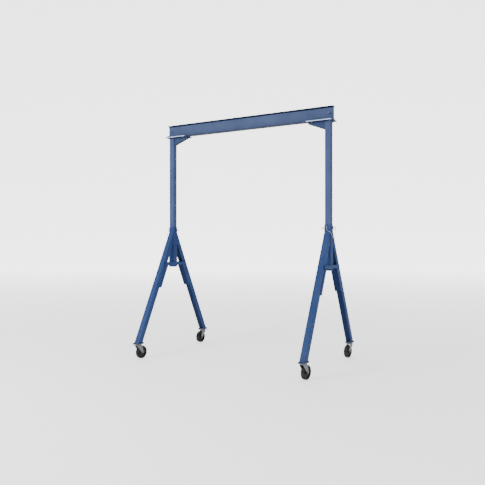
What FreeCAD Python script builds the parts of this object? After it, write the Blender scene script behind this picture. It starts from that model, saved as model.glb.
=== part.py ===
import FreeCAD, Part
import math
import os

# Portable gantry crane.  An I-beam sits on two telescoping posts.  Each post slides in the
# sleeve of an A-frame and is held there by a drop pin, and each A-frame rolls on two casters.
# Millimetres.  X runs along the beam, Y along the foot of an A-frame, Z up.  The origin is on
# the floor, midway between the four feet.  Left is -X, right +X, front -Y, rear +Y.

V = FreeCAD.Vector
X_AXIS = V(1, 0, 0)
Y_AXIS = V(0, 1, 0)
Z_AXIS = V(0, 0, 1)
INCH = 25.4

# ---------------------------------------------------------------- driving dimensions
# Beam, an American standard shape with tapered flanges
beam_length = 120 * INCH
beam_depth = 8 * INCH
flange_width = 4 * INCH
flange_tip = 7.0
flange_taper = 1 / 6
web_thickness = 6.9
root_radius = 8.0
toe_radius = 3.5
post_inset = 84.0                 # from the beam's end to the post's centre line

# Posts, and the tube that the legs are cut from as well
post_side = 3.5 * INCH
post_wall = 1 / 4 * INCH
tube_corner = 4.0                 # outer corner radius of every square tube
tube_inner_corner = 1.5
hole_pitch = 6 * INCH
holes_above_pin = 9
holes_below_pin = 3
top_hole_drop = 221.5             # head plate to the highest hole
bottom_hole_rise = 172.2          # post's lower end to the lowest hole

# Sleeves
sleeve_wall = 3 / 16 * INCH
post_clearance = 1 / 16 * INCH    # between post and sleeve, each side
sleeve_length = 27 * INCH
sleeve_pin_edge = 2 * INCH        # sleeve's top to its pin hole
pin_height = 2077.2

# Drop pins: a round bar with a pull ring welded to its outer end
pin_diameter = 5 / 8 * INCH
pin_clearance = 0.5               # radial, in post and sleeve
pin_tip_reach = 62.0              # past the sleeve's inner face
pin_tip_chamfer = 3.0
pin_outer_reach = 22.0            # past the sleeve's outer face
ring_rod = 8.0
ring_outer = 48.0                 # across the pull ring

# Legs, stiffeners and tie plates
leg_tilt = 27.0
leg_apex_height = 2052.0          # where the legs' centre lines meet
stiffener_depth = 1.5 * INCH
stiffener_lap = 0.5 * INCH        # over the leg's side faces
stiffener_bottom = 1108.0
tie_height = 2 * INCH
tie_thickness = 3 / 8 * INCH
tie_rise = 31.8                   # above the sleeve's lower end
tie_reach = 8.5                   # past the leg's centre line

# Feet
foot_plate_ledge = 0.25 * INCH    # past the leg's side, along X
foot_plate_edge = 5 / 8 * INCH    # past the bolt's centre, along Y
foot_plate_thickness = 0.5 * INCH
foot_plate_corner = 6.0

# Head plates, beam clips and knee braces
head_plate_length = 16 * INCH
head_plate_width = 9 * INCH
head_plate_thickness = 0.5 * INCH
clip_thickness = 3 / 8 * INCH
clip_width = 2 * INCH             # along X
clip_lap = 0.5 * INCH             # over the beam's flange
clip_heel = 22.0                  # from the bolt to the clip's outer face
clip_chamfer = 2.5
clip_bolt_offset = 70.0           # from the beam's centre line
clip_bolt_outer_edge = 44.0       # from the plate's outer end
clip_bolt_inner_edge = 72.4       # from the plate's inner end
clip_bolt_diameter = 0.5 * INCH
brace_length = 276.0
brace_drop = 5 * INCH             # below the head plate, at the post
brace_tip = 22.0                  # below the head plate, at the far end
brace_width = 2 * INCH
brace_wall = 1 / 4 * INCH

# Trolley stops
stop_bolt_diameter = 5 / 8 * INCH
stop_bolt_inset = 65.0            # from the beam's end
stop_bolt_reach = 44.0            # each side of the web's middle

# Casters
caster_height = 9.5 * INCH
wheel_diameter = 8 * INCH
wheel_width = 2 * INCH
tread_thickness = 14.0
tread_corner = 7.0
caster_trail = 62.0
rest_swivel = 83.0                # trail direction of the front casters, from +X
top_plate_edge = 0.5 * INCH       # past the bolt's centre, along Y
top_plate_width = 4 * INCH
top_plate_thickness = 1 / 4 * INCH
caster_bolt_leg_gap = 8.5         # from the leg's foot to the nut
caster_bolt_spacing_wide = 2.625 * INCH
caster_bolt_diameter = 3 / 8 * INCH
fork_wall = 6.0
fork_crown_height = 222.0
fork_boss_radius = 20.0
fork_inside = 57.0
fork_bend = 10.0
race_radius = 40.0
race_width = 18.0
race_lift = 5.0
ball_diameter = 8.0
ball_count = 16
kingpin_diameter = 0.5 * INCH
axle_diameter = 0.5 * INCH
bushing_wall = 4.0
hub_radius = 24.0
rim_thickness = 8.0
disc_thickness = 14.0

# Chains that keep the pins on the frame
chain_diameter = 6.0
staple_radius = 8.0
staple_rod = 2.5
staple_drop = 16.0                # below the sleeve's top
staple_offset = 13.0              # from the sleeve's middle, towards the inside

# Fits
running_fit = 0.10                # radial, between parts that turn
side_play = 0.4                   # each side of a wheel hub
soft_gap = 0.35                   # chain to its neighbours
thread_fit = 0.10                 # radial, screw in a tapped hole
bolt_fit = 0.40                   # radial, bolt in a drilled hole

# ---------------------------------------------------------------- derived sizes
post_x = beam_length / 2 - post_inset
post_half = post_side / 2
sleeve_side = post_side + 2 * (post_clearance + sleeve_wall)
sleeve_half = sleeve_side / 2
leg_side = post_side
leg_half = leg_side / 2
stiffener_wall = sleeve_half - leg_half
leg_foot_half = leg_half / math.cos(math.radians(leg_tilt))
nut_corner = 1.5 / math.sqrt(3)   # a nut's corner radius, as a share of its thread

caster_bolt_y = leg_foot_half + caster_bolt_leg_gap + nut_corner * caster_bolt_diameter
foot_plate_width = leg_side + 2 * foot_plate_ledge
foot_plate_length = 2 * (caster_bolt_y + foot_plate_edge)
top_plate_length = 2 * (caster_bolt_y + top_plate_edge)

sleeve_top = pin_height + sleeve_pin_edge
sleeve_bottom = sleeve_top - sleeve_length
post_bottom = pin_height - holes_below_pin * hole_pitch - bottom_hole_rise
post_top = pin_height + holes_above_pin * hole_pitch + top_hole_drop
head_plate_top = post_top + head_plate_thickness
beam_top = head_plate_top + beam_depth
beam_middle = head_plate_top + beam_depth / 2
tie_bottom = sleeve_bottom + tie_rise
tie_top = tie_bottom + tie_height
foot_plate_top = caster_height + foot_plate_thickness
top_plate_bottom = caster_height - top_plate_thickness
wheel_radius = wheel_diameter / 2
ring_centre_x = sleeve_half + pin_outer_reach + ring_outer / 2 - ring_rod

FRAMES = {"left": -1, "right": 1}
SIDES = {"front": -1, "rear": 1}


def leg_offset(z):
    """Distance of a leg's centre line from the post's middle plane, at height z."""
    return (leg_apex_height - z) * math.tan(math.radians(leg_tilt))


foot_y = leg_offset(foot_plate_top)


# ---------------------------------------------------------------- shape helpers
def block(x0, x1, y0, y1, z0, z1):
    return Part.makeBox(x1 - x0, y1 - y0, z1 - z0, V(x0, y0, z0))


def rod(diameter, start, direction, length):
    return Part.makeCylinder(diameter / 2, length, start, direction)


def ring(outer, inner, start, direction, length):
    return rod(outer, start, direction, length).cut(rod(inner, start, direction, length))


def prism(points, direction):
    outline = Part.makePolygon(points + [points[0]])
    return Part.Face(outline).extrude(direction)


def long_edges(shape, axis):
    """Straight edges of a shape that run along an axis."""
    chosen = []
    for edge in shape.Edges:
        if edge.Curve.TypeId != "Part::GeomLine":
            continue
        if abs(edge.Curve.Direction.dot(axis)) > 0.999:
            chosen.append(edge)
    return chosen


def rounded_block(size_x, size_y, radius, z0, z1):
    """Upright block centred on the Z axis with its four upright edges rounded."""
    shape = block(-size_x / 2, size_x / 2, -size_y / 2, size_y / 2, z0, z1)
    return shape.makeFillet(radius, long_edges(shape, Z_AXIS))


def square_tube(side, wall, z0, z1):
    """Upright square tube centred on the Z axis, with its mill corners."""
    outer = rounded_block(side, side, tube_corner, z0, z1)
    bore_side = side - 2 * wall
    return outer.cut(rounded_block(bore_side, bore_side, tube_inner_corner, z0, z1))


def hexagon(across_flats, start, direction, thickness):
    """Hexagonal block whose axis is the given direction, with its corners turned off."""
    corner_radius = across_flats / math.sqrt(3)
    axis = V(direction)
    axis.normalize()
    reference = X_AXIS if abs(axis.x) < 0.9 else Y_AXIS
    side = axis.cross(reference)
    side.normalize()
    other = axis.cross(side)
    points = []
    for index in range(6):
        angle = math.radians(60 * index)
        points.append(start + side * (corner_radius * math.cos(angle))
                      + other * (corner_radius * math.sin(angle)))
    body = prism(points, axis * thickness)
    turned = corner_radius - 0.1 * across_flats
    cone_rise = (corner_radius - turned) * 2
    blank = Part.makeCone(turned + cone_rise, turned, cone_rise * 0.6,
                          start + axis * (thickness - cone_rise * 0.6), axis)
    blank = blank.fuse(rod(2 * (turned + cone_rise), start, axis,
                           thickness - cone_rise * 0.6))
    return body.common(blank)


def hex_bolt(diameter, seat, direction, shank):
    """Bolt whose head stands on the seat, behind the shank's direction."""
    head = hexagon(1.5 * diameter, seat, V(0, 0, 0) - direction, 0.65 * diameter)
    return head.fuse(rod(diameter, seat, direction, shank)).removeSplitter()


def hex_nut(diameter, seat, direction):
    thickness = 0.85 * diameter
    body = hexagon(1.5 * diameter, seat, direction, thickness)
    return body.cut(rod(diameter + 2 * thread_fit, seat, direction, thickness))


def washer(diameter, seat, direction, thickness):
    return ring(2.2 * diameter, diameter + 2 * bolt_fit, seat, direction, thickness)


def at_frame(shape, sign):
    """Place a shape made at the centre onto an A-frame; the left frame is turned round."""
    placed = shape.copy()
    if sign < 0:
        placed.rotate(V(0, 0, 0), Z_AXIS, 180)
    placed.translate(V(sign * post_x, 0, 0))
    return placed


# ---------------------------------------------------------------- beam and head
def make_beam():
    """I-section with tapered flanges, extruded along X."""
    half_flange = flange_width / 2
    half_web = web_thickness / 2
    root = flange_tip + (half_flange - half_web) * flange_taper
    quarter = [(half_web, beam_depth / 2 - root), (half_flange, beam_depth / 2 - flange_tip),
               (half_flange, beam_depth / 2)]
    outline = quarter + [(-y, z) for y, z in reversed(quarter)]
    outline = outline + [(-y, -z) for y, z in outline]
    points = [V(-beam_length / 2, y, beam_middle + z) for y, z in outline]
    beam = prism(points, V(beam_length, 0, 0))
    roots = []
    toes = []
    for edge in long_edges(beam, X_AXIS):
        middle = edge.CenterOfMass
        height = abs(middle.z - beam_middle)
        if abs(abs(middle.y) - half_web) < 0.01:
            roots.append(edge)
        elif height < beam_depth / 2 - 0.01:
            toes.append(edge)
    beam = beam.makeFillet(root_radius, roots)
    toes = [edge for edge in long_edges(beam, X_AXIS)
            if abs(abs(edge.CenterOfMass.y) - half_flange) < 0.01
            and abs(edge.CenterOfMass.z - beam_middle) < beam_depth / 2 - 0.01]
    beam = beam.makeFillet(toe_radius, toes)
    for sign in FRAMES.values():
        hole = rod(stop_bolt_diameter + 2 * bolt_fit,
                   V(sign * (beam_length / 2 - stop_bolt_inset), -web_thickness, beam_middle),
                   Y_AXIS, 2 * web_thickness)
        beam = beam.cut(hole)
    return beam


def make_post():
    """Square tube with a row of pin holes through its inner and outer faces."""
    post = square_tube(post_side, post_wall, post_bottom, post_top)
    hole_diameter = pin_diameter + 2 * pin_clearance
    for index in range(-holes_below_pin, holes_above_pin + 1):
        start = V(-post_side, 0, pin_height + index * hole_pitch)
        post = post.cut(rod(hole_diameter, start, X_AXIS, 2 * post_side))
    return post


plate_outer = post_inset                       # from the post's centre, outwards
plate_inner = post_inset - head_plate_length   # negative: towards the span
clip_bolt_places = [(plate_outer - clip_bolt_outer_edge, -clip_bolt_offset),
                     (plate_outer - clip_bolt_outer_edge, clip_bolt_offset),
                     (plate_inner + clip_bolt_inner_edge, -clip_bolt_offset),
                     (plate_inner + clip_bolt_inner_edge, clip_bolt_offset)]


def make_head_plate():
    plate = block(plate_inner, plate_outer, -head_plate_width / 2, head_plate_width / 2,
                  post_top, head_plate_top)
    for x, y in clip_bolt_places:
        plate = plate.cut(rod(clip_bolt_diameter + 2 * bolt_fit, V(x, y, post_top), Z_AXIS,
                              head_plate_thickness))
    return plate


lip_rise = flange_tip + clip_lap * flange_taper
clip_top = head_plate_top + lip_rise + clip_thickness


def make_beam_clips():
    """Stepped clips: each stands on the head plate with its lip over the flange's tip."""
    outer_y = clip_bolt_offset + clip_heel
    toe_y = flange_width / 2 + side_play
    lip_y = flange_width / 2 - clip_lap
    outline = [(toe_y, head_plate_top), (outer_y, head_plate_top),
               (outer_y, clip_top - clip_chamfer), (outer_y - clip_chamfer, clip_top),
               (lip_y, clip_top), (lip_y, head_plate_top + lip_rise),
               (toe_y, head_plate_top + lip_rise)]
    clips = []
    for x, y in clip_bolt_places:
        side = 1 if y > 0 else -1
        points = [V(x - clip_width / 2, side * along, z) for along, z in outline]
        clip = prism(points, V(clip_width, 0, 0))
        clips.append(clip.cut(rod(clip_bolt_diameter + 2 * bolt_fit, V(x, y, head_plate_top),
                                  Z_AXIS, clip_top - head_plate_top)))
    return clips


def make_clip_bolts():
    length = clip_top - post_top + 1.3 * clip_bolt_diameter
    return [hex_bolt(clip_bolt_diameter, V(x, y, clip_top), V(0, 0, -1), length)
            for x, y in clip_bolt_places]


def make_clip_nuts():
    return [hex_nut(clip_bolt_diameter, V(x, y, post_top), V(0, 0, -1))
            for x, y in clip_bolt_places]


def make_knee_brace():
    """Folded channel between the post's inner face and the head plate, open at its top."""
    near = -post_half
    far = near - brace_length
    slope = math.atan2(brace_drop - brace_tip, brace_length)
    wall_drop = brace_wall / math.cos(slope)
    half = brace_width / 2

    def wedge(tip, drop, half_width):
        points = [V(near, -half_width, post_top), V(near, -half_width, post_top - drop),
                  V(far, -half_width, post_top - tip), V(far, -half_width, post_top)]
        return prism(points, V(0, 2 * half_width, 0))

    outer = wedge(brace_tip, brace_drop, half)
    inner = wedge(brace_tip - wall_drop, brace_drop - wall_drop, half - brace_wall)
    return outer.cut(inner)


def make_stop_bolt():
    start = V(post_inset - stop_bolt_inset, -stop_bolt_reach, beam_middle)
    return hex_bolt(stop_bolt_diameter, start, Y_AXIS, 2 * stop_bolt_reach)


def make_stop_nuts():
    x = post_inset - stop_bolt_inset
    return [hex_nut(stop_bolt_diameter, V(x, side * web_thickness / 2, beam_middle),
                    V(0, side, 0)) for side in SIDES.values()]


# ---------------------------------------------------------------- A-frame
def make_sleeve():
    sleeve = square_tube(sleeve_side, sleeve_wall, sleeve_bottom, sleeve_top)
    start = V(-sleeve_side, 0, pin_height)
    return sleeve.cut(rod(pin_diameter + 2 * pin_clearance, start, X_AXIS, 2 * sleeve_side))


def tilted(shape, side):
    """Turn a shape drawn upright about the leg's axis to where the leg leans."""
    placed = shape.copy()
    placed.rotate(V(0, 0, 0), X_AXIS, leg_tilt)
    placed.translate(V(0, 0, leg_apex_height))
    if side < 0:
        placed.rotate(V(0, 0, 0), Z_AXIS, 180)
    return placed


leg_run = (leg_apex_height - caster_height) / math.cos(math.radians(leg_tilt))
leg_spare = 2 * leg_side          # drawn past both ends, then trimmed


def make_leg(side):
    tube = tilted(square_tube(leg_side, post_wall, -leg_run - leg_spare, leg_spare), side)
    reach = 2 * foot_y
    near = sleeve_half
    room = block(-leg_side, leg_side, min(side * near, side * reach),
                 max(side * near, side * reach), foot_plate_top, leg_apex_height + leg_spare)
    return tube.common(room)


def make_stiffener(side):
    """Channel that laps the leg's sides and stands off its inner face."""
    outer = block(-leg_half - stiffener_wall, leg_half + stiffener_wall,
                  -leg_half - stiffener_depth, -leg_half + stiffener_lap,
                  -leg_run, leg_spare)
    inner = block(-leg_half, leg_half,
                  -leg_half - stiffener_depth + stiffener_wall, -leg_half + stiffener_lap,
                  -leg_run, leg_spare)
    reach = 2 * foot_y
    room = block(-leg_side, leg_side, -reach, reach, stiffener_bottom, tie_top)
    return tilted(outer.cut(inner), side).common(room)


def make_tie_plates():
    half_length = leg_offset((tie_bottom + tie_top) / 2) + tie_reach
    return [block(min(side * sleeve_half, side * (sleeve_half + tie_thickness)),
                  max(side * sleeve_half, side * (sleeve_half + tie_thickness)),
                  -half_length, half_length, tie_bottom, tie_top)
            for side in (-1, 1)]


caster_bolt_places = [(x * caster_bolt_spacing_wide / 2, y * caster_bolt_y)
                      for x in (-1, 1) for y in (-1, 1)]


def make_foot_plate(side):
    plate = rounded_block(foot_plate_width, foot_plate_length, foot_plate_corner,
                          caster_height, foot_plate_top)
    for x, y in caster_bolt_places:
        plate = plate.cut(rod(caster_bolt_diameter + 2 * bolt_fit, V(x, y, caster_height),
                              Z_AXIS, foot_plate_thickness))
    plate.translate(V(0, side * foot_y, 0))
    return plate


# ---------------------------------------------------------------- casters, trail along +X
race_top = fork_crown_height + race_lift
race_middle = (race_top + top_plate_bottom - race_lift) / 2


def race_groove():
    """Path swept by the balls, with their clearance."""
    return Part.makeTorus(race_radius, ball_diameter / 2 + running_fit,
                          V(0, 0, race_middle), Z_AXIS)


def make_top_plate():
    """Mounting plate with the upper ball race under it."""
    plate = rounded_block(top_plate_width, top_plate_length, foot_plate_corner,
                          top_plate_bottom, caster_height)
    upper_race = rod(2 * race_radius + race_width, V(0, 0, top_plate_bottom - race_lift),
                     Z_AXIS, race_lift)
    plate = plate.fuse(upper_race).cut(race_groove())
    plate = plate.cut(rod(kingpin_diameter + 2 * thread_fit,
                          V(0, 0, top_plate_bottom - race_lift), Z_AXIS, 2 * race_lift + caster_height))
    for x, y in caster_bolt_places:
        plate = plate.cut(rod(caster_bolt_diameter + 2 * bolt_fit, V(x, y, top_plate_bottom),
                              Z_AXIS, top_plate_thickness))
    return plate.removeSplitter()


def make_kingpin():
    """Headless swivel pin, set flush in the top plate."""
    length = caster_height - fork_crown_height + fork_wall + 1.1 * kingpin_diameter
    return rod(kingpin_diameter, V(0, 0, caster_height), V(0, 0, -1), length)


def make_kingpin_nut():
    return hex_nut(kingpin_diameter, V(0, 0, fork_crown_height - fork_wall), V(0, 0, -1))


def make_balls():
    balls = []
    for index in range(ball_count):
        angle = math.radians(360 / ball_count * index)
        centre = V(race_radius * math.cos(angle), race_radius * math.sin(angle), race_middle)
        balls.append(Part.makeSphere(ball_diameter / 2, centre))
    return balls


def make_caster_bolts():
    length = top_plate_thickness + foot_plate_thickness + 1.2 * caster_bolt_diameter
    return [hex_bolt(caster_bolt_diameter, V(x, y, top_plate_bottom), Z_AXIS, length)
            for x, y in caster_bolt_places]


def make_caster_nuts():
    return [hex_nut(caster_bolt_diameter, V(x, y, foot_plate_top), Z_AXIS)
            for x, y in caster_bolt_places]


fork_outside = fork_inside + 2 * fork_wall


def make_fork():
    """Pressed fork: a bent strap, its legs swept back to the axle, with the lower race on top."""
    half_out = fork_outside / 2
    half_in = fork_inside / 2
    foot = wheel_radius - fork_boss_radius
    inner_bend = fork_bend - fork_wall
    back = -race_radius - race_width / 2
    length = caster_trail + fork_boss_radius - back
    strap = block(back, back + length, -half_out, half_out, foot, fork_crown_height)
    crown_edges = [edge for edge in long_edges(strap, X_AXIS)
                   if edge.CenterOfMass.z > fork_crown_height - 0.01]
    strap = strap.makeFillet(fork_bend, crown_edges)
    slot = block(back, back + length, -half_in, half_in, foot, fork_crown_height - fork_wall)
    slot_edges = [edge for edge in long_edges(slot, X_AXIS)
                  if edge.CenterOfMass.z > fork_crown_height - fork_wall - 0.01]
    strap = strap.cut(slot.makeFillet(inner_bend, slot_edges))

    front = race_radius + race_width / 2
    crown_edge = fork_crown_height - fork_bend - fork_wall
    boss = V(caster_trail, -fork_outside, wheel_radius)

    def tangent_point(corner, turn):
        """Where a line from a crown corner touches the boss circle."""
        dx = corner[0] - caster_trail
        dz = corner[1] - wheel_radius
        reach = math.hypot(dx, dz)
        spread = math.acos(fork_boss_radius / reach)
        angle = math.atan2(dz, dx) + turn * spread
        return (caster_trail + fork_boss_radius * math.cos(angle),
                wheel_radius + fork_boss_radius * math.sin(angle))

    rear_corner = (back, crown_edge)
    front_corner = (front, crown_edge)
    outline = [(back, fork_crown_height), rear_corner, tangent_point(rear_corner, 1),
               (caster_trail, wheel_radius), tangent_point(front_corner, -1), front_corner,
               (front, fork_crown_height)]
    side_view = prism([V(x, -fork_outside, z) for x, z in outline], V(0, 2 * fork_outside, 0))
    side_view = side_view.fuse(rod(2 * fork_boss_radius, boss, Y_AXIS, 2 * fork_outside))
    fork = strap.common(side_view)

    lower_race = rod(2 * race_radius + race_width, V(0, 0, fork_crown_height), Z_AXIS, race_lift)
    fork = fork.fuse(lower_race).cut(race_groove())
    fork = fork.cut(rod(kingpin_diameter + 2 * running_fit,
                        V(0, 0, fork_crown_height - 2 * fork_wall), Z_AXIS,
                        2 * fork_wall + 2 * race_lift))
    fork = fork.cut(rod(axle_diameter + 2 * bolt_fit,
                        V(caster_trail, -fork_outside, wheel_radius), Y_AXIS, 2 * fork_outside))
    return fork.removeSplitter()


bushing_diameter = axle_diameter + 2 * bushing_wall


def make_axle():
    """Axle bolt, its nut and the bushing that the fork clamps."""
    seat = V(caster_trail, -fork_outside / 2, wheel_radius)
    far_seat = V(caster_trail, fork_outside / 2, wheel_radius)
    bolt = hex_bolt(axle_diameter, seat, Y_AXIS, fork_outside + 1.1 * axle_diameter)
    nut = hex_nut(axle_diameter, far_seat, Y_AXIS)
    bushing = ring(bushing_diameter, axle_diameter + 2 * bolt_fit,
                   V(caster_trail, -fork_inside / 2, wheel_radius), Y_AXIS, fork_inside)
    return [bolt, nut, bushing]


rim_radius = wheel_radius - tread_thickness


def turned(outline):
    """Revolve an outline of (radius, width) points about the axle."""
    points = [V(caster_trail + r, y, wheel_radius) for r, y in outline]
    face = Part.Face(Part.makePolygon(points + [points[0]]))
    return face.revolve(V(caster_trail, 0, wheel_radius), Y_AXIS, 360)


def make_wheel():
    """Wheel centre: hub, disc and rim in one casting."""
    hub_half = fork_inside / 2 - side_play
    rim_half = wheel_width / 2 - 3.0
    disc_half = disc_thickness / 2
    bore = bushing_diameter / 2 + running_fit
    rim_inner = rim_radius - rim_thickness
    half = [(bore, hub_half), (hub_radius, hub_half), (hub_radius + 3.0, disc_half),
            (rim_inner - 4.0, disc_half), (rim_inner, rim_half), (rim_radius, rim_half)]
    outline = half + [(r, -y) for r, y in reversed(half)]
    return turned(outline)


def make_tyre():
    """Tread ring with rounded shoulders."""
    half_width = wheel_width / 2
    tread = ring(wheel_diameter, 2 * rim_radius,
                 V(caster_trail, -half_width, wheel_radius), Y_AXIS, wheel_width)
    shoulders = []
    for edge in tread.Edges:
        if edge.Curve.TypeId == "Part::GeomCircle" and edge.Curve.Radius > wheel_radius - 0.01:
            shoulders.append(edge)
    return tread.makeFillet(tread_corner, shoulders)


# ---------------------------------------------------------------- drop pins and chains
def make_pin():
    """Round bar along X with the pull ring standing on end at its outer end."""
    tip = -sleeve_half - pin_tip_reach
    radius = pin_diameter / 2
    nose = Part.makeCone(radius - pin_tip_chamfer, radius, pin_tip_chamfer,
                         V(tip, 0, pin_height), X_AXIS)
    end = sleeve_half + pin_outer_reach
    shank = rod(pin_diameter, V(tip + pin_tip_chamfer, 0, pin_height), X_AXIS,
                end - tip - pin_tip_chamfer)
    pull_ring = Part.makeTorus((ring_outer - ring_rod) / 2, ring_rod / 2,
                               V(ring_centre_x, 0, pin_height), Y_AXIS)
    return nose.fuse([shank, pull_ring]).removeSplitter()


staple_x = -staple_offset
staple_z = sleeve_top - staple_drop


def make_staple():
    """Half ring welded by its two ends to the sleeve's front face."""
    section = Part.Face(Part.Wire(Part.makeCircle(
        staple_rod, V(staple_x - staple_radius, -sleeve_half, staple_z), Y_AXIS)))
    return section.revolve(V(staple_x, -sleeve_half, staple_z), Z_AXIS, 180)


def tube_along(points, diameter):
    """Round tube along straight runs joined by tangent arcs."""
    edges = []
    start = points[0]
    for index in range(1, len(points) - 1):
        corner = points[index]
        to_last = points[index - 1] - corner
        to_next = points[index + 1] - corner
        shorter = min(to_last.Length, to_next.Length)
        to_last.normalize()
        to_next.normalize()
        turn = math.pi - math.acos(max(-1.0, min(1.0, to_last.dot(to_next))))
        cut_back = 0.45 * shorter
        first = corner + to_last * cut_back
        last = corner + to_next * cut_back
        radius = cut_back / math.tan(turn / 2)
        inward = to_last + to_next
        inward.normalize()
        centre = corner + inward * (radius / math.cos(turn / 2))
        middle = centre - inward * radius
        edges.append(Part.LineSegment(start, first).toShape())
        edges.append(Part.Arc(first, middle, last).toShape())
        start = last
    edges.append(Part.LineSegment(start, points[-1]).toShape())
    path = Part.Wire(edges)
    ring_edge = Part.makeCircle(diameter / 2, points[0], points[1] - points[0])
    return path.makePipeShell([Part.Wire(ring_edge)], True, False), path.Length


def chain_points():
    """Route of a right-hand chain: down the sleeve's front, round its outer side, up to the ring."""
    front = -sleeve_half
    outer = sleeve_half
    hang = staple_z - staple_rod - soft_gap
    grip_y = ring_rod / 2 + chain_diameter / 2 + soft_gap
    grip = (ring_outer - ring_rod) / 2 * math.sqrt(0.5)
    return [V(staple_x, front - staple_radius, hang),
            V(staple_x + 1, front - staple_radius - 2, hang - 27),
            V(staple_x + 9, front - 14, hang - 54),
            V(staple_x + 30, front - 27, hang - 72),
            V(outer + 8, front - 22, hang - 96),
            V(outer + 16, front + 14, hang - 138),
            V(outer + 18, front + 46, hang - 172),
            V(outer + 24, front + 78, hang - 182),
            V(outer + 34, front + 96, hang - 160),
            V(outer + 46, front + 93, hang - 118),
            V(outer + 54, front + 76, hang - 74),
            V(ring_centre_x + grip, grip_y, pin_height - grip)]


def make_chain():
    tube, length = tube_along(chain_points(), chain_diameter)
    print("chain length %.1f" % length)
    return tube


# ---------------------------------------------------------------- nodes
def on_caster(shape, sign, side):
    """Place a caster piece under a foot, its trail turned inwards as it rests."""
    placed = shape.copy()
    placed.rotate(V(0, 0, 0), Z_AXIS, rest_swivel if side < 0 else rest_swivel + 180)
    placed.translate(V(sign * post_x, side * foot_y, 0))
    return placed


def under_foot(shape, sign, side):
    """Place a fixed caster piece under a foot."""
    placed = shape.copy()
    placed.translate(V(sign * post_x, side * foot_y, 0))
    return placed


def build_nodes():
    nodes = {"beam": [make_beam()]}
    nodes["clip_bolts"] = []
    nodes["clip_nuts"] = []
    nodes["stop_bolts"] = []
    nodes["stop_nuts"] = []
    nodes["chain_staples"] = []
    nodes["caster_bolts"] = []
    nodes["caster_nuts"] = []
    nodes["kingpins"] = []
    nodes["kingpin_nuts"] = []
    nodes["swivel_balls"] = []

    post = make_post()
    head_plate = make_head_plate()
    beam_clips = make_beam_clips()
    knee_brace = make_knee_brace()
    sleeve = make_sleeve()
    tie_plates = make_tie_plates()
    legs = {side: make_leg(side) for side in SIDES.values()}
    stiffeners = {side: make_stiffener(side) for side in SIDES.values()}
    foot_plates = {side: make_foot_plate(side) for side in SIDES.values()}
    pin = make_pin()
    chain = make_chain()
    top_plate = make_top_plate()
    fork = make_fork()
    axle = make_axle()
    wheel = make_wheel()
    tyre = make_tyre()

    for frame, sign in FRAMES.items():
        nodes[frame + "_post"] = [at_frame(post, sign)]
        nodes[frame + "_head_plate"] = [at_frame(head_plate, sign)]
        nodes[frame + "_beam_clips"] = [at_frame(clip, sign) for clip in beam_clips]
        nodes[frame + "_knee_brace"] = [at_frame(knee_brace, sign)]
        nodes[frame + "_sleeve"] = [at_frame(sleeve, sign)]
        nodes[frame + "_tie_plates"] = [at_frame(plate, sign) for plate in tie_plates]
        nodes[frame + "_drop_pin"] = [at_frame(pin, sign)]
        nodes[frame + "_pin_chain"] = [at_frame(chain, sign)]
        nodes["clip_bolts"] += [at_frame(bolt, sign) for bolt in make_clip_bolts()]
        nodes["clip_nuts"] += [at_frame(nut, sign) for nut in make_clip_nuts()]
        nodes["stop_bolts"].append(at_frame(make_stop_bolt(), sign))
        nodes["stop_nuts"] += [at_frame(nut, sign) for nut in make_stop_nuts()]
        nodes["chain_staples"].append(at_frame(make_staple(), sign))
        for name, side in SIDES.items():
            corner = frame + "_" + name
            # A turned frame swaps its front and rear, so it takes the other side's piece.
            nodes[corner + "_leg"] = [at_frame(legs[sign * side], sign)]
            nodes[corner + "_stiffener"] = [at_frame(stiffeners[sign * side], sign)]
            nodes[corner + "_foot_plate"] = [at_frame(foot_plates[sign * side], sign)]
            nodes[corner + "_caster_plate"] = [under_foot(top_plate, sign, side)]
            nodes["caster_bolts"] += [under_foot(bolt, sign, side)
                                      for bolt in make_caster_bolts()]
            nodes["caster_nuts"] += [under_foot(nut, sign, side)
                                     for nut in make_caster_nuts()]
            nodes["kingpins"].append(under_foot(make_kingpin(), sign, side))
            nodes["kingpin_nuts"].append(under_foot(make_kingpin_nut(), sign, side))
            nodes["swivel_balls"] += [under_foot(ball, sign, side) for ball in make_balls()]
            nodes[corner + "_fork"] = [on_caster(fork, sign, side)]
            nodes[corner + "_axle"] = [on_caster(piece, sign, side) for piece in axle]
            nodes[corner + "_wheel"] = [on_caster(wheel, sign, side)]
            nodes[corner + "_tyre"] = [on_caster(tyre, sign, side)]
    return nodes


def main():
    os.makedirs("parts", exist_ok=True)
    nodes = build_nodes()
    for name, solids in sorted(nodes.items()):
        shape = solids[0] if len(solids) == 1 else Part.makeCompound(solids)
        for solid in solids:
            if not solid.isValid() or solid.Volume <= 0:
                raise ValueError(name + " has a broken solid")
        shape.exportStep("parts/" + name + ".step")
    print(len(nodes), "nodes,", sum(len(solids) for solids in nodes.values()), "solids")


main()
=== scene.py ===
import math

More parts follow.
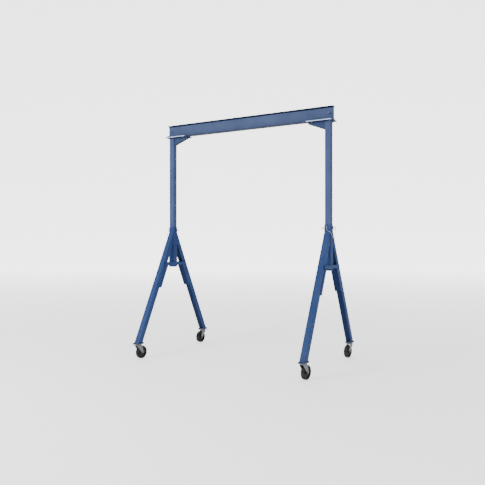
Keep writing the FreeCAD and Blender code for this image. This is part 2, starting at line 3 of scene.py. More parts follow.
import bmesh
import bpy
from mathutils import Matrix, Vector


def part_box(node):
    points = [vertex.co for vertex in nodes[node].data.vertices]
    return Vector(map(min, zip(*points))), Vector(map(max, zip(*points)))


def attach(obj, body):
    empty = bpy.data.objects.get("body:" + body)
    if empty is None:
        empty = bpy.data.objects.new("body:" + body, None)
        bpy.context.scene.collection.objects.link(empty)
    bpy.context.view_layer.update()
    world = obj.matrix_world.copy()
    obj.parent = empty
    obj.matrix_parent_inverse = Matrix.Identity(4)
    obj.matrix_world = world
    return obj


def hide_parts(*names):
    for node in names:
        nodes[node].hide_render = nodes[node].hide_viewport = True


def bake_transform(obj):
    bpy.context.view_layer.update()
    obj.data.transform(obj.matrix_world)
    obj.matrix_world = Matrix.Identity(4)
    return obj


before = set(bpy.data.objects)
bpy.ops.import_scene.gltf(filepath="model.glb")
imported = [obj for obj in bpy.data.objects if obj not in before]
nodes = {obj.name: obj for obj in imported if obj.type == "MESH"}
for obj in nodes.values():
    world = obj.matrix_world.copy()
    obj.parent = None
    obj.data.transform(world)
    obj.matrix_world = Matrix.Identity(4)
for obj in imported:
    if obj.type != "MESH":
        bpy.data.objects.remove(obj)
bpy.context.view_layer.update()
FRAMES = {"left": -1, "right": 1}

# ---------------------------------------------------------------- sizes read from the frame
post_low, post_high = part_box("right_post")
sleeve_low, sleeve_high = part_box("right_sleeve")
plate_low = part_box("right_head_plate")[0]
brace_low, brace_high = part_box("right_knee_brace")
tie_low, tie_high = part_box("right_tie_plates")
leg_low, leg_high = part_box("right_rear_leg")
foot_low, foot_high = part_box("right_rear_foot_plate")
pin_low, pin_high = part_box("right_drop_pin")
stiffener_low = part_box("right_rear_stiffener")[0]

flange_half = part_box("beam")[1][1]
post_x = (post_low[0] + post_high[0]) / 2
post_half = (post_high[0] - post_low[0]) / 2
sleeve_half = (sleeve_high[0] - sleeve_low[0]) / 2
leg_half = (leg_high[0] - leg_low[0]) / 2
foot_y = (foot_low[1] + foot_high[1]) / 2

# ---------------------------------------------------------------- sizes in metres, set here
LEG_TILT = math.radians(27)
CHANNEL_DEPTH = 0.0381       # a stiffener's reach inwards from its leg's inner face
CHANNEL_LAP = 0.0127         # its lap over the leg's side faces
BEAD_RADIUS = 0.0034         # weld beads, and the distance between two puddles
BEAD_PITCH = 0.0042
STITCH_LENGTH = 0.055        # stitch welds along a stiffener's lap
STITCH_COUNT = 4
STITCH_TOP_GAP = 0.020       # from the tie plates down to the first stitch
STITCH_FOOT_GAP = 0.012      # from the last stitch down to the stiffener's lower end
LINK_PITCH = 0.010           # chain links
LINK_WIDTH = 0.0060
LINK_WIRE = 0.0022
CHAIN_DROP = 0.020           # from the sleeve's top down to the first link
RING_REACH = 0.020           # the split ring hangs this far from the pull ring's centre
RING_RADIUS = 0.0098
RING_WIRE = 0.0011

# ---------------------------------------------------------------- stage settings
CAMERA_TURN = math.radians(30.12)
LIGHT_TARGET = (0, 0, 1.6)
WORLD_STRENGTH = 0.75
FAR_GLOW = 2.0               # light given off by the backdrop and by the floor far away
GLOW_START = 2.0             # the floor's glow grows between these distances from the centre
GLOW_END = 22.0

# ---------------------------------------------------------------- shades the finishes share
ENAMEL_ROUGHNESS = 0.54
UNDERSIDE_SHADE_SCALE = (0.05, 0.10, 0.16)      # painted shade: what the shade on down-leaning faces leaves of the red, green and blue
END_FACE_SHADE_SCALE = 0.30                     # painted shade: what the shade on the faces across X leaves of a colour
DUST = (0.42, 0.42, 0.40, 1)
GRIME = (0.16, 0.16, 0.17, 1)
# painted highlight that pales the faces across Y
SIDE_HIGHLIGHT_COLOUR = (0.50, 0.60, 0.92, 1)
# painted shade inside a post's bore and pin holes
BORE_SHADE = (0.001, 0.001, 0.002, 1)


# ---------------------------------------------------------------- camera, floor and light
def add_camera():
    data = bpy.data.cameras.new("camera")
    data.lens = 42.18
    data.sensor_width = 36
    data.clip_end = 100
    camera = bpy.data.objects.new("camera", data)
    camera.location = (4.574, -7.959, 1.862)
    camera.rotation_euler = (math.radians(90), 0, CAMERA_TURN)
    bpy.context.scene.collection.objects.link(camera)
    bpy.context.scene.camera = camera


def add_area(name, place, size, power, colour):
    data = bpy.data.lights.new(name, "AREA")
    data.shape = "SQUARE"
    data.size = size
    data.energy = power
    data.color = colour
    light = bpy.data.objects.new(name, data)
    light.location = place
    aim = Vector(LIGHT_TARGET) - Vector(place)
    light.rotation_euler = aim.to_track_quat("-Z", "Y").to_euler()
    bpy.context.scene.collection.objects.link(light)


def add_stage():
    bpy.ops.mesh.primitive_plane_add(size=120, location=(0, 0, 0))
    floor = bpy.context.object
    floor.name = "floor"
    floor.data.materials.append(make_floor_material())
    world = bpy.data.worlds.new("studio")
    world.use_nodes = True
    sky = world.node_tree.nodes["Background"]
    sky.inputs["Color"].default_value = (0.93, 0.95, 1.0, 1)
    sky.inputs["Strength"].default_value = WORLD_STRENGTH
    bpy.context.scene.world = world
    bpy.ops.mesh.primitive_plane_add(size=1, location=(-14.0, 24.5, 10.0),
                                     rotation=(math.radians(90), 0, CAMERA_TURN))
    wall = bpy.context.object
    wall.name = "backdrop"
    wall.scale = (60, 32, 1)
    glow = bpy.data.materials.new("backdrop")
    glow.use_nodes = True
    shader = glow.node_tree.nodes["Principled BSDF"]
    shader.inputs["Base Color"].default_value = (0.9, 0.9, 0.9, 1)
    shader.inputs["Emission Color"].default_value = (1.0, 1.0, 1.0, 1)
    shader.inputs["Emission Strength"].default_value = FAR_GLOW
    wall.data.materials.append(glow)
    add_area("key", (-3.5, -9.0, 5.5), 3.5, 960, (1.0, 0.98, 0.95))
    add_area("fill", (8.0, -3.0, 4.0), 4.0, 70, (0.94, 0.97, 1.0))


# ---------------------------------------------------------------- node tree helpers
def add(tree, kind, **settings):
    node = tree.nodes.new(kind)
    for key, value in settings.items():
        setattr(node, key, value)
    return node


def connect(tree, pairs):
    for source, target in pairs:
        tree.links.new(source, target)


def maths(tree, operation, first, second=None, clamp=False):
    node = add(tree, "ShaderNodeMath", operation=operation, use_clamp=clamp)
    for slot, value in zip(node.inputs, (first, second)):
        if value is None:
            continue
        if isinstance(value, (int, float)):
            slot.default_value = value
        else:
            tree.links.new(value, slot)
    return node.outputs[0]


def noise(tree, vector, scale, detail=3.0, rough=0.55):
    node = add(tree, "ShaderNodeTexNoise")
    node.inputs["Scale"].default_value = scale
    node.inputs["Detail"].default_value = detail
    node.inputs["Roughness"].default_value = rough
    tree.links.new(vector, node.inputs["Vector"])
    return node.outputs["Fac"]


def remap(tree, value, low, high, out_low=0.0, out_high=1.0):
    node = add(tree, "ShaderNodeMapRange", clamp=True)
    node.inputs["From Min"].default_value = low
    node.inputs["From Max"].default_value = high
    node.inputs["To Min"].default_value = out_low
    node.inputs["To Max"].default_value = out_high
    tree.links.new(value, node.inputs["Value"])
    return node.outputs["Result"]


def mix(tree, factor, first, second):
    node = add(tree, "ShaderNodeMix", data_type="RGBA")
    for value, slot in ((factor, 0), (first, 6), (second, 7)):
        if isinstance(value, (int, float, tuple)):
            node.inputs[slot].default_value = value
        else:
            tree.links.new(value, node.inputs[slot])
    return node.outputs[2]


def coat(tree, tint, mask, strength, colour):
    """Lay a colour over a tint where a mask is white."""
    return mix(tree, maths(tree, "MULTIPLY", mask, strength), tint, colour)


def parts_of(tree, vector):
    """A vector's X, Y and Z."""
    node = add(tree, "ShaderNodeSeparateXYZ")
    tree.links.new(vector, node.inputs[0])
    return node.outputs


def size_of(tree, value):
    return maths(tree, "ABSOLUTE", value)


def new_group(name, inputs, outputs):
    tree = bpy.data.node_groups.new(name, "ShaderNodeTree")
    for label, kind, default in inputs:
        socket = tree.interface.new_socket(label, in_out="INPUT", socket_type=kind)
        if default is not None:
            socket.default_value = default
    for label, kind in outputs:
        tree.interface.new_socket(label, in_out="OUTPUT", socket_type=kind)
    return tree, add(tree, "NodeGroupInput"), add(tree, "NodeGroupOutput")


def make_wear_group():
    """Masks for worn edges, dust on upward faces and grime near the floor."""
    tree, start, end = new_group(
        "surface_wear",
        [("Edge Width", "NodeSocketFloat", 0.002), ("Edge Amount", "NodeSocketFloat", 0.5)],
        [("Edges", "NodeSocketFloat"), ("Dust", "NodeSocketFloat"), ("Grime", "NodeSocketFloat"),
         ("Mottle", "NodeSocketFloat"), ("Scratches", "NodeSocketFloat")])
    place = add(tree, "ShaderNodeTexCoord").outputs["Object"]
    geometry = add(tree, "ShaderNodeNewGeometry")
    bevel = add(tree, "ShaderNodeBevel", samples=4)
    tree.links.new(start.outputs["Edge Width"], bevel.inputs["Radius"])
    dot = add(tree, "ShaderNodeVectorMath", operation="DOT_PRODUCT")
    connect(tree, [(bevel.outputs["Normal"], dot.inputs[0]),
                   (geometry.outputs["Normal"], dot.inputs[1])])
    rim = remap(tree, dot.outputs["Value"], 0.995, 0.88)
    chips = remap(tree, noise(tree, place, 70.0, 4.0, 0.7), 0.47, 0.62)
    edges = maths(tree, "MULTIPLY", maths(tree, "MULTIPLY", rim, chips),
                  start.outputs["Edge Amount"], clamp=True)

    upward = parts_of(tree, geometry.outputs["Normal"])["Z"]
    dust = maths(tree, "MULTIPLY", remap(tree, upward, 0.3, 1.0),
                 remap(tree, noise(tree, place, 9.0, 4.0), 0.35, 0.7))
    height = parts_of(tree, place)["Z"]
    grime = maths(tree, "MULTIPLY", remap(tree, height, 0.9, 0.0),
                  remap(tree, noise(tree, place, 14.0, 5.0), 0.4, 0.7))
    mottle = noise(tree, place, 3.2, 3.0)
    stretch = add(tree, "ShaderNodeMapping")
    stretch.inputs["Scale"].default_value = (1.0, 1.0, 0.06)
    tree.links.new(place, stretch.inputs["Vector"])
    scratches = remap(tree, noise(tree, stretch.outputs["Vector"], 160.0, 2.0), 0.66, 0.74)
    connect(tree, [(edges, end.inputs["Edges"]), (dust, end.inputs["Dust"]),
                   (grime, end.inputs["Grime"]), (mottle, end.inputs["Mottle"]),
                   (scratches, end.inputs["Scratches"])])
    return tree


WEAR = make_wear_group()


def new_material(name):
    material = bpy.data.materials.new(name)
    material.use_nodes = True
    tree = material.node_tree
    shader = tree.nodes["Principled BSDF"]
    place = add(tree, "ShaderNodeTexCoord").outputs["Object"]
    return material, tree, shader, place


def add_wear(tree, width, amount):
    wear = add(tree, "ShaderNodeGroup")
    wear.node_tree = WEAR
    wear.inputs["Edge Width"].default_value = width
    wear.inputs["Edge Amount"].default_value = amount
    return wear.outputs


def add_bump(tree, shader, height, strength, distance):
    bump = add(tree, "ShaderNodeBump")
    bump.inputs["Strength"].default_value = strength
    bump.inputs["Distance"].default_value = distance
    connect(tree, [(height, bump.inputs["Height"]),
                   (bump.outputs["Normal"], shader.inputs["Normal"])])


def hollow_mask(tree, place, half):
    """Where a post's bore and pin holes get painted shade: 1 inside its walls, on its bore and in
    its pin holes, 0 on its outer faces.
    """
    spot = parts_of(tree, place)
    across = maths(tree, "SUBTRACT", size_of(tree, spot["X"]), post_x)
    reach = maths(tree, "MAXIMUM", size_of(tree, across), size_of(tree, spot["Y"]))
    return remap(tree, reach, half - 0.0004, half - 0.0016)


def make_paint(name, colour, edge_colour, end_shade=0.22, under_shade=0.9,
               side_highlight=0.0, shaded_bore=0.0, shaded_tips=0.0):
    """Sprayed enamel: orange peel, slow colour drift, dust, chipped edges.

    The end and under arguments set the painted shade on faces across X and on faces that lean
    down, the sides argument sets the painted highlight that pales the faces across Y, the bore
    argument is half the width of a post whose bore and pin holes get painted shade, and the tips
    argument is how far out in Y the flange edges with painted shade lie.
    """
    material, tree, shader, place = new_material(name)
    wear = add_wear(tree, 0.0022, 0.55)
    lighter = tuple(min(1.0, c * 1.08 + 0.003) for c in colour) + (1,)
    darker = tuple(c * 0.92 for c in colour) + (1,)
    tint = mix(tree, remap(tree, wear["Mottle"], 0.35, 0.65), darker, lighter)
    tint = coat(tree, tint, wear["Dust"], 0.08, DUST)
    tint = coat(tree, tint, wear["Grime"], 0.20, GRIME)
    tint = coat(tree, tint, wear["Scratches"], 0.10, lighter)
    # Painted shade: faces that lean down, such as undersides and the legs' inner faces, are
    # darkened
    facing = parts_of(tree, add(tree, "ShaderNodeNewGeometry").outputs["Normal"])
    under_shade_mask = remap(tree, facing["Z"], -0.22, -0.48)
    under_shade_colour = tuple(c * part for c, part in zip(colour, UNDERSIDE_SHADE_SCALE)) + (1,)
    tint = coat(tree, tint, under_shade_mask, under_shade, under_shade_colour)
    # Painted shade: the faces across the beam's line are darkened, as if the light left them
    # darker than those along it
    ends = remap(tree, size_of(tree, facing["X"]), 0.6, 0.95)
    tint = coat(tree, tint, ends, end_shade, tuple(c * END_FACE_SHADE_SCALE for c in colour) + (1,))
    tint = mix(tree, wear["Edges"], tint, edge_colour + (1,))
    # Painted highlight: faces across Y are paled in patches, standing in for light caught on
    # these edges
    if side_highlight:
        side = remap(tree, size_of(tree, facing["Y"]), 0.5, 0.8)
        patchy = remap(tree, noise(tree, place, 24.0, 4.0), 0.3, 0.55, 0.7, 1.0)
        tint = coat(tree, tint, maths(tree, "MULTIPLY", side, patchy), side_highlight, SIDE_HIGHLIGHT_COLOUR)
    # Painted shade: the beam's flange edges are darkened out to this reach in Y
    if shaded_tips:
        tip = remap(tree, size_of(tree, parts_of(tree, place)["Y"]),
                    shaded_tips - 0.0016, shaded_tips - 0.0004)
        tint = coat(tree, tint, tip, 0.8, edge_colour + (1,))
    # Painted shade: a post's bore and pin holes are coloured near black
    if shaded_bore:
        tint = mix(tree, hollow_mask(tree, place, shaded_bore), tint, BORE_SHADE)
    connect(tree, [(tint, shader.inputs["Base Color"])])
    rough = remap(tree, noise(tree, place, 18.0, 3.0), 0.3, 0.7,
                  ENAMEL_ROUGHNESS - 0.06, ENAMEL_ROUGHNESS + 0.08)
    rough = maths(tree, "ADD", rough, maths(tree, "MULTIPLY", wear["Dust"], 0.25), clamp=True)
    connect(tree, [(rough, shader.inputs["Roughness"])])
    shader.inputs["Specular IOR Level"].default_value = 0.04
    peel = noise(tree, place, 420.0, 2.0)
    chip_depth = maths(tree, "MULTIPLY", wear["Edges"], -1.5)
    add_bump(tree, shader, maths(tree, "ADD", peel, chip_depth), 0.16, 0.0006)
    return material


def make_metal(name, colour, rough, warm=0.15, bump=0.10, scale=60.0):
    """Plated or turned steel with clouded tint and fine scratches."""
    material, tree, shader, place = new_material(name)
    wear = add_wear(tree, 0.001, 0.5)
    shade = tuple(c * 0.78 for c in colour) + (1,)
    gold = (colour[0], colour[1] * 0.95, colour[2] * 0.82, 1)
    tint = mix(tree, remap(tree, noise(tree, place, scale, 4.0), 0.35, 0.65),
               shade, colour + (1,))
    tint = coat(tree, tint, wear["Mottle"], warm, gold)
    tint = coat(tree, tint, wear["Grime"], 0.35, (0.12, 0.11, 0.10, 1))
    tint = coat(tree, tint, wear["Edges"], 0.5, (0.85, 0.85, 0.86, 1))
    connect(tree, [(tint, shader.inputs["Base Color"])])
    shader.inputs["Metallic"].default_value = 0.9
    dull = remap(tree, noise(tree, place, scale * 1.7, 3.0), 0.3, 0.7, rough - 0.07, rough + 0.12)
    connect(tree, [(dull, shader.inputs["Roughness"])])
    add_bump(tree, shader, noise(tree, place, 900.0, 2.0), bump, 0.0003)
    return material


def make_black(name, colour, rough, grain, depth):
    """Moulded rubber or painted casting: fine grain, floor dust and scuffs."""
    material, tree, shader, place = new_material(name)
    wear = add_wear(tree, 0.0018, 0.45)
    lighter = tuple(c * 1.9 + 0.002 for c in colour) + (1,)
    tint = mix(tree, remap(tree, noise(tree, place, 30.0, 4.0), 0.35, 0.7),
               colour + (1,), lighter)
    tint = coat(tree, tint, wear["Grime"], 0.18, (0.20, 0.19, 0.17, 1))
    tint = coat(tree, tint, wear["Edges"], 0.35, (0.16, 0.16, 0.16, 1))
    connect(tree, [(tint, shader.inputs["Base Color"])])
    shader.inputs["Specular IOR Level"].default_value = 0.10
    dull = remap(tree, noise(tree, place, 45.0, 3.0), 0.3, 0.7, rough - 0.08, rough + 0.08)
    connect(tree, [(dull, shader.inputs["Roughness"])])
    add_bump(tree, shader, noise(tree, place, grain, 3.0), 0.35, depth)
    return material


def make_floor_material():
    material, tree, shader, place = new_material("floor")
    tint = mix(tree, noise(tree, place, 0.6, 3.0), (0.86, 0.87, 0.88, 1), (0.90, 0.90, 0.91, 1))
    connect(tree, [(tint, shader.inputs["Base Color"])])
    shader.inputs["Roughness"].default_value = 0.9
    shader.inputs["Emission Color"].default_value = (1.0, 1.0, 1.0, 1)
    distance = add(tree, "ShaderNodeVectorMath", operation="LENGTH")
    tree.links.new(place, distance.inputs[0])
    glow = remap(tree, distance.outputs["Value"], GLOW_START, GLOW_END, 1.0, FAR_GLOW)
    tree.links.new(glow, shader.inputs["Emission Strength"])
    return material


PAINT_UPPER = make_paint("paint_upper", (0.046, 0.066, 0.132), (0.012, 0.016, 0.036))
# The beam's flange edges carry painted shade
PAINT_BEAM = make_paint("paint_beam", (0.044, 0.064, 0.130), (0.012, 0.016, 0.036),
                        shaded_tips=flange_half)
# The posts' bores and pin holes carry painted shade
PAINT_POST = make_paint("paint_post", (0.042, 0.062, 0.140), (0.006, 0.009, 0.020),
                        end_shade=0.0, shaded_bore=post_half)
# Painted shade: the knee braces are a darker copy of the paint, with full painted shade on their
# undersides, for the shade under the head plates
PAINT_BRACE_SHADED = make_paint("paint_knee_brace_shaded", (0.028, 0.044, 0.096), (0.008, 0.011, 0.024),
                         under_shade=1.0)
PAINT_LOWER = make_paint("paint_lower", (0.022, 0.046, 0.138), (0.006, 0.012, 0.036))
# The head plates' faces across Y carry a painted highlight
PAINT_PLATE = make_paint("paint_head_plate", (0.030, 0.046, 0.115), (0.30, 0.33, 0.38),
                         side_highlight=0.85)
# Painted light: the stop bolts and nuts are a paler copy of the paint, standing in for the
# highlights on them and lifting their own shade
PAINT_BOLT_HIGHLIT = make_paint("paint_stop_bolt_highlit", (0.070, 0.094, 0.170), (0.13, 0.16, 0.25))
# Painted shade: the foot plates are a darker copy of the same paint
PAINT_FOOT_SHADED = make_paint("paint_foot_plate_shaded", (0.014, 0.028, 0.080), (0.006, 0.010, 0.026))
ZINC = make_metal("zinc", (0.15, 0.155, 0.16), 0.42)
ZINC_BRIGHT = make_metal("zinc_bright", (0.55, 0.56, 0.57), 0.32, scale=90.0)
PINS = make_black("pin_paint", (0.008, 0.010, 0.018), 0.5, 300.0, 0.0003)
TURNED = make_metal("turned_steel", (0.42, 0.42, 0.43), 0.30, warm=0.05)
BALL = make_metal("ball_steel", (0.75, 0.75, 0.77), 0.14, warm=0.0, bump=0.02)
RUBBER = make_black("moulded_rubber", (0.002, 0.002, 0.002), 0.62, 500.0, 0.0005)
CASTING = make_black("black_casting", (0.003, 0.003, 0.0035), 0.45, 220.0, 0.0012)


FINISHES = {
    "beam": PAINT_BEAM, "_post": PAINT_POST, "_knee_brace": PAINT_BRACE_SHADED,
    "_head_plate": PAINT_PLATE, "_foot_plate": PAINT_FOOT_SHADED,
    "_sleeve": PAINT_LOWER, "_leg": PAINT_LOWER, "_stiffener": PAINT_LOWER,
    "_tie_plates": PAINT_LOWER, "_beam_clips": PAINT_UPPER, "clip_bolts": PAINT_UPPER,
    "stop_bolts": PAINT_BOLT_HIGHLIT, "stop_nuts": PAINT_BOLT_HIGHLIT, "_drop_pin": PINS,
    "_tyre": RUBBER, "_wheel": CASTING, "kingpins": TURNED, "swivel_balls": BALL}


def material_for(name):
    """The finish for a node, by how its name ends; all other steel is zinc plated."""
    for ending, material in FINISHES.items():
        if name.endswith(ending):
            return material
    return ZINC


def dress_nodes():
    for name, obj in nodes.items():
        material = material_for(name)
        if not obj.material_slots:
            obj.data.materials.append(material)
        for slot in obj.material_slots:
            slot.material = material


# ---------------------------------------------------------------- geometry nodes helpers
def new_geometry_group(name, inputs):
    tree = bpy.data.node_groups.new(name, "GeometryNodeTree")
    tree.interface.new_socket("Geometry", in_out="INPUT", socket_type="NodeSocketGeometry")
    for label, kind, default in inputs:
        socket = tree.interface.new_socket(label, in_out="INPUT", socket_type=kind)
        if default is not None:
            socket.default_value = default
    tree.interface.new_socket("Geometry", in_out="OUTPUT", socket_type="NodeSocketGeometry")
    return tree, add(tree, "NodeGroupInput"), add(tree, "NodeGroupOutput")


def make_curve(name, runs, spline="POLY"):
    """Curve object with one spline per run of points, in metres."""
    data = bpy.data.curves.new(name, "CURVE")
    data.dimensions = "3D"
    for points in runs:
        line = data.splines.new(spline)
        line.points.add(len(points) - 1)
        for index, point in enumerate(points):
            line.points[index].co = (point[0], point[1], point[2], 1)
        if spline == "NURBS":
            line.order_u = 3
            line.use_endpoint_u = True
            line.resolution_u = 16
    obj = bpy.data.objects.new(name, data)
    bpy.context.scene.collection.objects.link(obj)
    return obj


def grow(name, curve, tree, values, material):
    """Run a node tree on a curve and keep its result as a plain mesh object."""
    modifier = curve.modifiers.new("grow", "NODES")
    modifier.node_group = tree
    sockets = {item.name: item.identifier for item in tree.interface.items_tree
               if item.item_type == "SOCKET" and item.in_out == "INPUT"}
    for label, value in values.items():
        modifier[sockets[label]] = value
    modifier[sockets["Material"]] = material
    graph = bpy.context.evaluated_depsgraph_get()
    mesh = bpy.data.meshes.new_from_object(curve.evaluated_get(graph))
    obj = bpy.data.objects.new(name, mesh)
    bpy.context.scene.collection.objects.link(obj)
    bpy.data.objects.remove(curve)
    return obj


def make_weld_tree():
    """Overlapping puddles set along each run of a curve."""
    tree, start, end = new_geometry_group("weld_bead", [
        ("Bead Radius", "NodeSocketFloat", 0.003), ("Pitch", "NodeSocketFloat", 0.004),
        ("Seed", "NodeSocketInt", 3), ("Material", "NodeSocketMaterial", None)])
    points = add(tree, "GeometryNodeCurveToPoints", mode="LENGTH")
    puddle = add(tree, "GeometryNodeMeshIcoSphere")
    puddle.inputs["Subdivisions"].default_value = 2
    stretch = add(tree, "GeometryNodeTransform")
    stretch.inputs["Scale"].default_value = (1.0, 1.0, 1.25)
    scatter = add(tree, "GeometryNodeInstanceOnPoints")
    vary = add(tree, "FunctionNodeRandomValue", data_type="FLOAT")
    vary.inputs[2].default_value = 0.86
    vary.inputs[3].default_value = 1.12
    realize = add(tree, "GeometryNodeRealizeInstances")
    smooth = add(tree, "GeometryNodeSetShadeSmooth")
    paint = add(tree, "GeometryNodeSetMaterial")
    connect(tree, [
        (start.outputs["Geometry"], points.inputs["Curve"]),
        (start.outputs["Pitch"], points.inputs["Length"]),
        (start.outputs["Bead Radius"], puddle.inputs["Radius"]),
        (puddle.outputs["Mesh"], stretch.inputs["Geometry"]),
        (points.outputs["Points"], scatter.inputs["Points"]),
        (points.outputs["Rotation"], scatter.inputs["Rotation"]),
        (stretch.outputs["Geometry"], scatter.inputs["Instance"]),
        (start.outputs["Seed"], vary.inputs["Seed"]),
        (vary.outputs[1], scatter.inputs["Scale"]),
        (scatter.outputs["Instances"], realize.inputs["Geometry"]),
        (realize.outputs["Geometry"], smooth.inputs["Geometry"]),
        (smooth.outputs["Geometry"], paint.inputs["Geometry"]),
        (start.outputs["Material"], paint.inputs["Material"]),
        (paint.outputs["Geometry"], end.inputs["Geometry"])])
    return tree


def make_chain_tree():
    """Welded links set along a curve, each turned a quarter from the last."""
    tree, start, end = new_geometry_group("chain_links", [
        ("Pitch", "NodeSocketFloat", 0.009), ("Link Width", "NodeSocketFloat", 0.0052),
        ("Wire", "NodeSocketFloat", 0.0018), ("Material", "NodeSocketMaterial", None)])
    points = add(tree, "GeometryNodeCurveToPoints", mode="LENGTH")
    length = add(tree, "ShaderNodeMath", operation="ADD")
    outline = add(tree, "GeometryNodeCurvePrimitiveQuadrilateral", mode="RECTANGLE")
    half = add(tree, "ShaderNodeMath", operation="MULTIPLY")
    half.inputs[1].default_value = 0.499
    fillet = add(tree, "GeometryNodeFilletCurve")
    if "Mode" in fillet.inputs:
        fillet.inputs["Mode"].default_value = "Poly"
    else:
        fillet.mode = "POLY"
    fillet.inputs["Count"].default_value = 5
    profile = add(tree, "GeometryNodeCurvePrimitiveCircle", mode="RADIUS")
    profile.inputs["Resolution"].default_value = 10
    wire_radius = add(tree, "ShaderNodeMath", operation="MULTIPLY")
    wire_radius.inputs[1].default_value = 0.5
    skin = add(tree, "GeometryNodeCurveToMesh")
    stand = add(tree, "GeometryNodeTransform")
    stand.inputs["Rotation"].default_value = (0, math.radians(90), 0)
    index = add(tree, "GeometryNodeInputIndex")
    parity = add(tree, "ShaderNodeMath", operation="MODULO")
    parity.inputs[1].default_value = 2
    quarter = add(tree, "ShaderNodeMath", operation="MULTIPLY")
    quarter.inputs[1].default_value = math.radians(90)
    spin = add(tree, "FunctionNodeAxisAngleToRotation")
    spin.inputs["Axis"].default_value = (0, 0, 1)
    turn = add(tree, "FunctionNodeRotateRotation", rotation_space="LOCAL")
    scatter = add(tree, "GeometryNodeInstanceOnPoints")
    realize = add(tree, "GeometryNodeRealizeInstances")
    smooth = add(tree, "GeometryNodeSetShadeSmooth")
    paint = add(tree, "GeometryNodeSetMaterial")
    connect(tree, [
        (start.outputs["Geometry"], points.inputs["Curve"]),
        (start.outputs["Pitch"], points.inputs["Length"]),
        (start.outputs["Pitch"], length.inputs[0]),
        (start.outputs["Wire"], length.inputs[1]),
        (length.outputs[0], outline.inputs["Width"]),
        (start.outputs["Link Width"], outline.inputs["Height"]),
        (start.outputs["Link Width"], half.inputs[0]),
        (half.outputs[0], fillet.inputs["Radius"]),
        (outline.outputs["Curve"], fillet.inputs["Curve"]),
        (start.outputs["Wire"], wire_radius.inputs[0]),
        (wire_radius.outputs[0], profile.inputs["Radius"]),
        (fillet.outputs["Curve"], skin.inputs["Curve"]),
        (profile.outputs["Curve"], skin.inputs["Profile Curve"]),
        (skin.outputs["Mesh"], stand.inputs["Geometry"]),
        (index.outputs[0], parity.inputs[0]),
        (parity.outputs[0], quarter.inputs[0]),
        (quarter.outputs[0], spin.inputs["Angle"]),
        (points.outputs["Rotation"], turn.inputs["Rotation"]),
        (spin.outputs["Rotation"], turn.inputs["Rotate By"]),
        (points.outputs["Points"], scatter.inputs["Points"]),
        (turn.outputs["Rotation"], scatter.inputs["Rotation"]),
        (stand.outputs["Geometry"], scatter.inputs["Instance"]),
        (scatter.outputs["Instances"], realize.inputs["Geometry"]),
        (realize.outputs["Geometry"], smooth.inputs["Geometry"]),
        (smooth.outputs["Geometry"], paint.inputs["Geometry"]),
        (start.outputs["Material"], paint.inputs["Material"]),
        (paint.outputs["Geometry"], end.inputs["Geometry"])])
    return tree


# ---------------------------------------------------------------- welds
def placed(point, sign):
    """A point given about a frame's post, outboard along +X; the left frame is turned round."""
    x, y, z = point
    return (sign * (post_x + x), sign * y, z)


def loop(x0, x1, y0, y1, z):
    return [[(x0, y0, z), (x1, y0, z)], [(x1, y0, z), (x1, y1, z)],
            [(x1, y1, z), (x0, y1, z)], [(x0, y1, z), (x0, y0, z)]]


def frame_weld_runs():
    """Weld runs of one A-frame."""
    runs = []
    cut_half = leg_half / math.cos(LEG_TILT)
    slope = math.tan(LEG_TILT)
    apex = foot_high[2] + foot_y / slope
    upper_seam = apex - (sleeve_half - cut_half) / slope
    lower_seam = apex - (sleeve_half + cut_half) / slope
    edge = sleeve_half
    for side in (-1, 1):
        runs += loop(-leg_half, leg_half, side * foot_y - cut_half, side * foot_y + cut_half,
                     foot_high[2])
        for x in (-leg_half, leg_half):
            runs.append([(x, side * edge, lower_seam), (x, side * edge, upper_seam)])
        for z in (lower_seam, upper_seam):
            runs.append([(-leg_half, side * edge, z), (leg_half, side * edge, z)])
        for z in (tie_low[2], tie_high[2]):
            runs.append([(side * edge, -edge, z), (side * edge, edge, z)])
            centre = (apex - z) * slope
            inner = centre - (leg_half + CHANNEL_DEPTH) / math.cos(LEG_TILT)
            outer = centre - (leg_half - CHANNEL_LAP) / math.cos(LEG_TILT)
            for way in (-1, 1):
                runs.append([(side * edge, way * inner, z), (side * edge, way * outer, z)])
        # Stitch welds along the stiffener's lap on the leg's side faces
        top = tie_low[2] - STITCH_TOP_GAP
        bottom = stiffener_low[2] + STITCH_FOOT_GAP
        for index in range(STITCH_COUNT):
            z1 = top - (top - bottom - STITCH_LENGTH) * index / (STITCH_COUNT - 1)
            z0 = z1 - STITCH_LENGTH
            for x in (-leg_half, leg_half):
                ends = []
                for z in (z0, z1):
                    y = (apex - z) * slope - (leg_half - CHANNEL_LAP) / math.cos(LEG_TILT)
                    ends.append((x, side * y, z))
                runs.append(ends)
    return runs


def head_weld_runs():
    """Weld runs of one post's head plate and knee brace."""
    top = plate_low[2]
    brace_half = (brace_high[1] - brace_low[1]) / 2
    far = brace_low[0] - post_x
    bottom = brace_low[2]
    runs = loop(-post_half, post_half, -post_half, post_half, top)
    for y in (-brace_half, brace_half):
        runs.append([(-post_half, y, bottom), (-post_half, y, top)])
        runs.append([(-post_half, y, top), (far, y, top)])
    runs.append([(-post_half, -brace_half, bottom), (-post_half, brace_half, bottom)])
    runs.append([(far, -brace_half, top), (far, brace_half, top)])
    return runs


def add_welds():
    tree = make_weld_tree()
    for frame_name, sign in FRAMES.items():
        for name, body, runs, material in (
                ("frame_welds", "base", frame_weld_runs(), PAINT_LOWER),
                ("head_welds", "upper", head_weld_runs(), PAINT_UPPER)):
            placed_runs = [[placed(point, sign) for point in run] for run in runs]
            curve = make_curve(frame_name + "_route", placed_runs)
            obj = grow(frame_name + "_" + name, curve, tree,
                       {"Bead Radius": BEAD_RADIUS, "Pitch": BEAD_PITCH, "Seed": 3}, material)
            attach(obj, body)


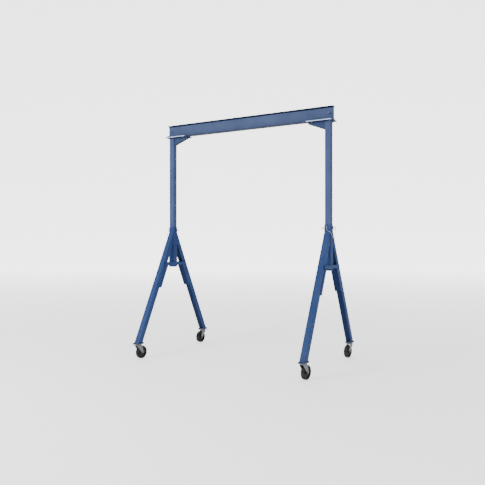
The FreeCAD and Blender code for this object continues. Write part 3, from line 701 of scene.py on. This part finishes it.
# ---------------------------------------------------------------- chains and their rings
def torus(name, centre, axis_x, axis_y, radius, wire, material):
    """Round ring in the plane of two unit vectors."""
    mesh = bpy.data.meshes.new(name)
    build = bmesh.new()
    around, section = 32, 10
    normal = Vector(axis_x).cross(Vector(axis_y))
    grid = []
    for i in range(around):
        angle = 2 * math.pi * i / around
        out = Vector(axis_x) * math.cos(angle) + Vector(axis_y) * math.sin(angle)
        row = []
        for j in range(section):
            turn = 2 * math.pi * j / section
            spot = Vector(centre) + out * (radius + wire * math.cos(turn))
            row.append(build.verts.new(spot + normal * (wire * math.sin(turn))))
        grid.append(row)
    for i in range(around):
        for j in range(section):
            face = build.faces.new((grid[i][j], grid[(i + 1) % around][j],
                                    grid[(i + 1) % around][(j + 1) % section],
                                    grid[i][(j + 1) % section]))
            face.smooth = True
    bmesh.ops.recalc_face_normals(build, faces=build.faces)
    build.to_mesh(mesh)
    build.free()
    obj = bpy.data.objects.new(name, mesh)
    mesh.materials.append(material)
    bpy.context.scene.collection.objects.link(obj)
    return obj


def add_chains():
    tree = make_chain_tree()
    pin_z = (pin_low[2] + pin_high[2]) / 2
    ring_x = pin_high[0] - (pin_high[2] - pin_low[2]) / 2 - post_x
    hang = sleeve_high[2] - CHAIN_DROP
    front = -sleeve_half
    outer = sleeve_half
    diagonal = math.sqrt(0.5)
    ring_offset = RING_REACH * diagonal - 0.001
    route = [(-0.013, front - 0.0080, hang), (-0.012, front - 0.0100, hang - 0.027),
             (-0.004, front - 0.0140, hang - 0.054), (0.017, front - 0.0275, hang - 0.072),
             (outer + 0.008, front - 0.0230, hang - 0.096),
             (outer + 0.016, front + 0.014, hang - 0.138),
             (outer + 0.018, front + 0.046, hang - 0.172),
             (outer + 0.024, front + 0.078, hang - 0.182),
             (outer + 0.034, front + 0.096, hang - 0.160),
             (outer + 0.046, front + 0.093, hang - 0.118),
             (outer + 0.053, front + 0.076, hang - 0.078),
             (ring_x + 0.0145, 0.0135, pin_z - 0.0155)]
    for frame_name, sign in FRAMES.items():
        points = [placed(point, sign) for point in route]
        curve = make_curve(frame_name + "_chain_route", [points], "NURBS")
        chain = grow(frame_name + "_chain_links", curve, tree,
                     {"Pitch": LINK_PITCH, "Link Width": LINK_WIDTH, "Wire": LINK_WIRE},
                     ZINC_BRIGHT)
        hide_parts(frame_name + "_pin_chain")
        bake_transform(chain)
        centre = placed((ring_x + ring_offset, 0.0035, pin_z - ring_offset), sign)
        ring = torus(frame_name + "_split_ring", centre, (sign * diagonal, 0, -diagonal),
                     (0, 1, 0), RING_RADIUS, RING_WIRE, ZINC_BRIGHT)
        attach(ring, frame_name + "_pin")


add_camera()
add_stage()
dress_nodes()
add_welds()
add_chains()
